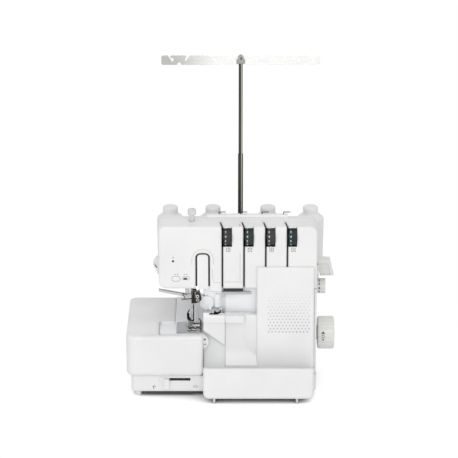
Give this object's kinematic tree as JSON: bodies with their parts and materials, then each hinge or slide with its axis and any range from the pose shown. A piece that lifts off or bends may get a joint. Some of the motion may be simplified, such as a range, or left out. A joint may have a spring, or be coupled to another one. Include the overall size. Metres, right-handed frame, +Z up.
{
  "type": "serger overlock machine",
  "caption": "Free-standing overlock sewing machine with tension dials, free arm, looper cover, waste tray, spool cone holders and a telescopic thread tree.",
  "frame": {"origin": "on the table plane under the middle of the machine's bounding box", "axes": "+X to the handwheel, +Y to the spool stand at the back, +Z up"},
  "size_m": [0.382, 0.3, 0.584],
  "materials": {
    "white_shell": "satin moulded",
    "grey_plastic": "satin moulded",
    "clear_knob": "frosted",
    "lamp_lens": "frosted",
    "dark_dial": "satin",
    "black_plastic": "satin",
    "rubber": "matte",
    "cast_aluminium": "as cast",
    "steel": "polished",
    "brass": "turned",
    "motor_can": "painted"
  },
  "bodies": {
    "machine": {"base_pan": "white_shell", "bushes": "brass", "casing_screws": "steel", "chip_chute": "grey_plastic", "drive_belt": "rubber", "free_arm_bed": "white_shell", "head_front_cover": "white_shell", "hinge_pins": "steel", "knife_cover": "white_shell", "lamp_lens": "lamp_lens", "lower_knife": "steel", "lower_mast": "steel", "main_frame": "cast_aluminium", "motor": "motor_can", "needle_plate": "steel", "power_inlet": "black_plastic", "rear_cover": "white_shell", "rubber_feet": "rubber", "spool_pins": "steel", "spool_stand": "white_shell", "take_up_guard": "white_shell", "tension_units": "steel", "thread_channel_plate": "black_plastic", "thread_cutter": "black_plastic", "thread_guide_hooks": "steel", "thread_guide_rail": "white_shell", "throat_panel": "white_shell"},
    "drive": {"handwheel": "grey_plastic", "main_shaft": "steel", "drive_pulley": "grey_plastic"},
    "motor_rotor": {"motor_pulley": "grey_plastic"},
    "needle_drive": {"needle_bar": "steel", "needle_clamp": "steel", "needles": "steel"},
    "presser": {"presser_bar": "steel", "presser_foot": "steel"},
    "thread_tree": {"upper_mast": "steel", "thread_guide_bar": "white_shell"},
    "presser_lever": {"presser_lever": "steel"},
    "looper_cover": {"looper_cover": "white_shell"},
    "waste_tray": {"waste_tray": "white_shell"},
    "extension_table": {"extension_table": "white_shell"},
    "air_lever": {"air_lever": "white_shell"},
    "stitch_length_dial": {"stitch_length_dial": "white_shell"},
    "selector_lever": {"selector_lever": "white_shell"},
    "width_dial": {"width_dial": "white_shell"},
    "pressure_knob": {"pressure_knob": "clear_knob"},
    "upper_looper": {"upper_looper": "steel"},
    "lower_looper": {"lower_looper": "steel"},
    "upper_knife": {"upper_knife": "steel"},
    "feed_dogs": {"feed_dogs": "steel"},
    "power_switch": {"power_switch": "black_plastic"},
    "tension_dial_1": {"tension_dial_1": "dark_dial"},
    "tension_dial_2": {"tension_dial_2": "dark_dial"},
    "tension_dial_3": {"tension_dial_3": "dark_dial"},
    "tension_dial_4": {"tension_dial_4": "dark_dial"},
    "cone_holder_1": {"cone_holder_1": "white_shell"},
    "cone_holder_2": {"cone_holder_2": "white_shell"},
    "cone_holder_3": {"cone_holder_3": "white_shell"},
    "cone_holder_4": {"cone_holder_4": "white_shell"}
  },
  "joints": [
    {"name": "handwheel_spin", "type": "hinge", "parent": "machine", "child": "drive", "pos_m": [0.16, -0.025, 0.09], "axis": [1, 0, 0], "continuous": true},
    {"name": "motor_spin", "type": "hinge", "parent": "machine", "child": "motor_rotor", "pos_m": [0.106, 0.025, 0.16], "axis": [1, 0, 0], "continuous": true},
    {"name": "needle_stroke", "type": "slide", "parent": "machine", "child": "needle_drive", "axis": [0, 0, 1], "range_m": [-0.028, 0]},
    {"name": "presser_lever_lift", "type": "hinge", "parent": "machine", "child": "presser_lever", "pos_m": [-0.08, -0.068, 0.181], "axis": [0, -1, 0], "range_deg": [0, 40]},
    {"name": "presser_rise", "type": "slide", "parent": "machine", "child": "presser", "axis": [0, 0, 1], "range_m": [0, 0.006]},
    {"name": "looper_cover_swing", "type": "hinge", "parent": "machine", "child": "looper_cover", "pos_m": [0.1, -0.103, 0.066], "axis": [1, 0, 0], "range_deg": [0, 60]},
    {"name": "waste_tray_pull", "type": "slide", "parent": "machine", "child": "waste_tray", "axis": [0, -1, 0], "range_m": [0, 0.12]},
    {"name": "table_pull", "type": "slide", "parent": "machine", "child": "extension_table", "axis": [-1, 0, 0], "range_m": [0, 0.15]},
    {"name": "air_lever_press", "type": "hinge", "parent": "machine", "child": "air_lever", "pos_m": [0.143, -0.025, 0.2215], "axis": [0, 1, 0], "range_deg": [0, 14], "stiffness_Nm_per_rad": 1.2},
    {"name": "stitch_length_turn", "type": "hinge", "parent": "machine", "child": "stitch_length_dial", "pos_m": [0.16, -0.025, 0.183], "axis": [1, 0, 0], "range_deg": [-120, 120]},
    {"name": "threading_select", "type": "slide", "parent": "machine", "child": "selector_lever", "axis": [1, 0, 0], "range_m": [0, 0.038]},
    {"name": "stitch_width_turn", "type": "hinge", "parent": "machine", "child": "width_dial", "pos_m": [-0.055, -0.105, 0.106], "axis": [0, 1, 0], "range_deg": [-100, 100]},
    {"name": "tree_telescope", "type": "slide", "parent": "machine", "child": "thread_tree", "axis": [0, 0, 1], "range_m": [-0.165, 0]},
    {"name": "pressure_turn", "type": "hinge", "parent": "machine", "child": "pressure_knob", "pos_m": [-0.071, -0.061, 0.34], "axis": [0, 0, 1], "range_deg": [-180, 180]},
    {"name": "upper_looper_swing", "type": "hinge", "parent": "machine", "child": "upper_looper", "pos_m": [-0.021, -0.066, 0.07], "axis": [0, 1, 0], "range_deg": [-8, 8]},
    {"name": "lower_looper_swing", "type": "hinge", "parent": "machine", "child": "lower_looper", "pos_m": [-0.033, -0.074, 0.062], "axis": [0, 1, 0], "range_deg": [-8, 8]},
    {"name": "upper_knife_swing", "type": "hinge", "parent": "machine", "child": "upper_knife", "pos_m": [-0.0287, -0.062, 0.149], "axis": [-1, 0, 0], "range_deg": [0, 7]},
    {"name": "feed_stroke", "type": "slide", "parent": "machine", "child": "feed_dogs", "axis": [0, 1, 0], "range_m": [-0.0015, 0.0015]},
    {"name": "power_rock", "type": "hinge", "parent": "machine", "child": "power_switch", "pos_m": [0.1535, 0.055, 0.088], "axis": [0, 1, 0], "range_deg": [-7, 7]},
    {"name": "tension_turn_1", "type": "hinge", "parent": "machine", "child": "tension_dial_1", "pos_m": [-0.0068, -0.0835, 0.3025], "axis": [1, 0, 0], "range_deg": [-150, 150]},
    {"name": "cone_lift_1", "type": "slide", "parent": "machine", "child": "cone_holder_1", "axis": [0, 0, 1], "range_m": [0, 0.1]},
    {"name": "tension_turn_2", "type": "hinge", "parent": "machine", "child": "tension_dial_2", "pos_m": [0.0323, -0.0835, 0.3025], "axis": [1, 0, 0], "range_deg": [-150, 150]},
    {"name": "cone_lift_2", "type": "slide", "parent": "machine", "child": "cone_holder_2", "axis": [0, 0, 1], "range_m": [0, 0.1]},
    {"name": "tension_turn_3", "type": "hinge", "parent": "machine", "child": "tension_dial_3", "pos_m": [0.0714, -0.0835, 0.3025], "axis": [1, 0, 0], "range_deg": [-150, 150]},
    {"name": "cone_lift_3", "type": "slide", "parent": "machine", "child": "cone_holder_3", "axis": [0, 0, 1], "range_m": [0, 0.1]},
    {"name": "tension_turn_4", "type": "hinge", "parent": "machine", "child": "tension_dial_4", "pos_m": [0.1105, -0.0835, 0.3025], "axis": [1, 0, 0], "range_deg": [-150, 150]},
    {"name": "cone_lift_4", "type": "slide", "parent": "machine", "child": "cone_holder_4", "axis": [0, 0, 1], "range_m": [0, 0.1]}
  ],
  "couplings": [
    {"joint": "motor_spin", "follows": "handwheel_spin", "ratio": 4.5385},
    {"joint": "presser_rise", "follows": "presser_lever_lift", "m_per_rad": 0.0085}
  ]
}
